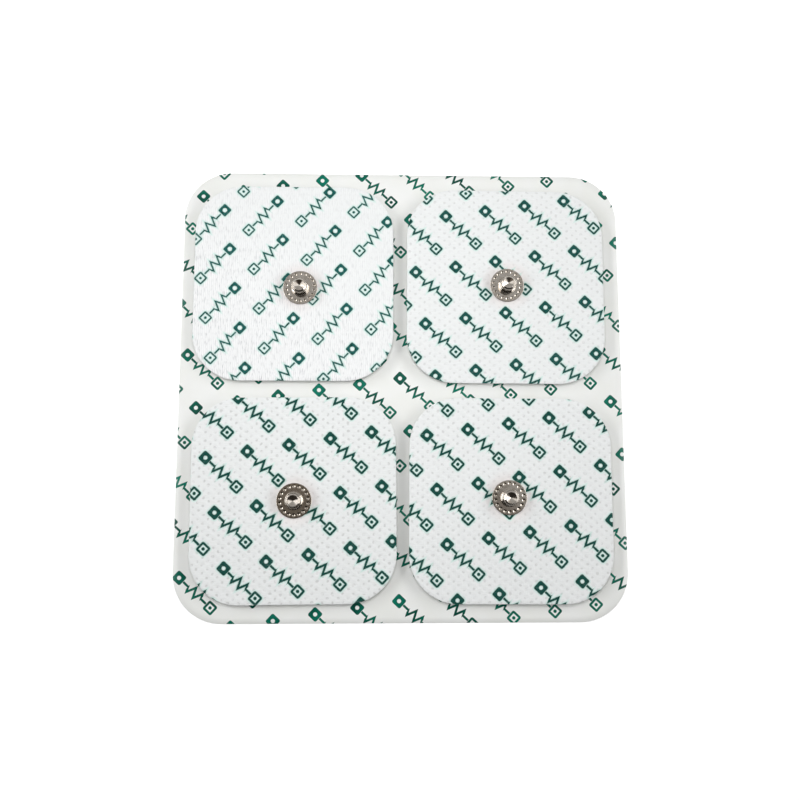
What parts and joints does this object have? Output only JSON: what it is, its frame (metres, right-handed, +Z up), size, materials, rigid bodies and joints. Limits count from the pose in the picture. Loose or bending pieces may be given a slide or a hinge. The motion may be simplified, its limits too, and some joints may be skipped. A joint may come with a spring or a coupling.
{
  "type": "tens electrode pad",
  "caption": "Square self-adhesive snap electrode pads with round corners, laid on one shared printed release liner.",
  "frame": {"origin": "middle of the release liner's underside, on the surface that the card lies on", "axes": "+Z up, away from the liner and along the snaps; +Y towards the card's far edge in the picture; +X to its right"},
  "size_m": [0.1108, 0.1128, 0.0046],
  "materials": {
    "liner": "smooth white film, slightly glossy, green diagonal print",
    "cover": "white non-woven fabric with bond dots or ribs, dark green diagonal print",
    "carbon_film": "matt black conductive film",
    "hydrogel": "clear, faintly yellow sticky gel",
    "snap": "nickel plated, satin with bright edges",
    "eyelet_patch": "thin white insulating film"
  },
  "bodies": {
    "root": {"release_liner": "liner", "upper_left_cover": "cover", "upper_left_carbon_film": "carbon_film", "upper_left_hydrogel": "hydrogel", "upper_left_snap_stud": "snap", "upper_left_snap_eyelet": "snap", "upper_left_eyelet_patch": "eyelet_patch", "upper_right_cover": "cover", "upper_right_carbon_film": "carbon_film", "upper_right_hydrogel": "hydrogel", "upper_right_snap_stud": "snap", "upper_right_snap_eyelet": "snap", "upper_right_eyelet_patch": "eyelet_patch", "lower_left_cover": "cover", "lower_left_carbon_film": "carbon_film", "lower_left_hydrogel": "hydrogel", "lower_left_snap_stud": "snap", "lower_left_snap_eyelet": "snap", "lower_left_eyelet_patch": "eyelet_patch", "lower_right_cover": "cover", "lower_right_carbon_film": "carbon_film", "lower_right_hydrogel": "hydrogel", "lower_right_snap_stud": "snap", "lower_right_snap_eyelet": "snap", "lower_right_eyelet_patch": "eyelet_patch"}
  },
  "joints": []
}
